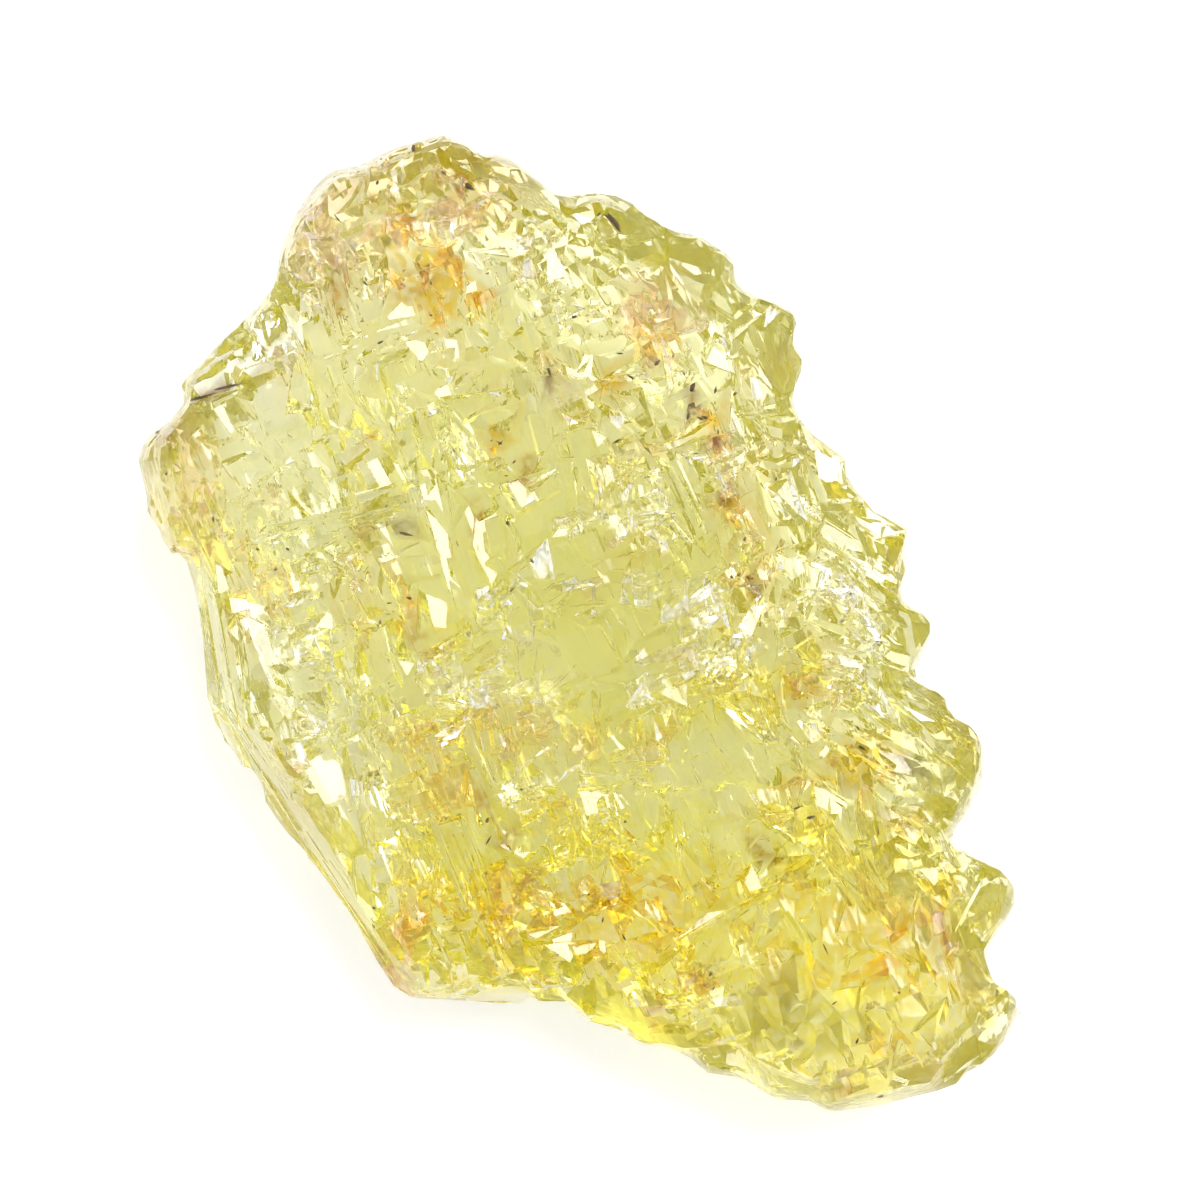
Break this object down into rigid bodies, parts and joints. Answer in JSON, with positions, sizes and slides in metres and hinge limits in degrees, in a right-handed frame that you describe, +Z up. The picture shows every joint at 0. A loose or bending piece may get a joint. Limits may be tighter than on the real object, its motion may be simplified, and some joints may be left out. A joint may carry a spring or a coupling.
{
  "type": "heliodor specimen",
  "caption": "Deeply etched, see-through yellow beryl crystal with a toothed flank, a lumpy crest and a striated prism face, lying on its broken back.",
  "frame": {"origin": "middle of the crystal's bounding box in plan, on the surface it lies on", "axes": "+Z up, out of the etched front; +Y towards the lumpy crest; +X towards the toothed flank"},
  "size_m": [0.0356, 0.0394, 0.0125],
  "materials": {
    "heliodor": "clear pale yellow, etched and part frosted, with brown iron stains"
  },
  "bodies": {
    "root": {"heliodor_crystal": "heliodor"}
  },
  "joints": []
}
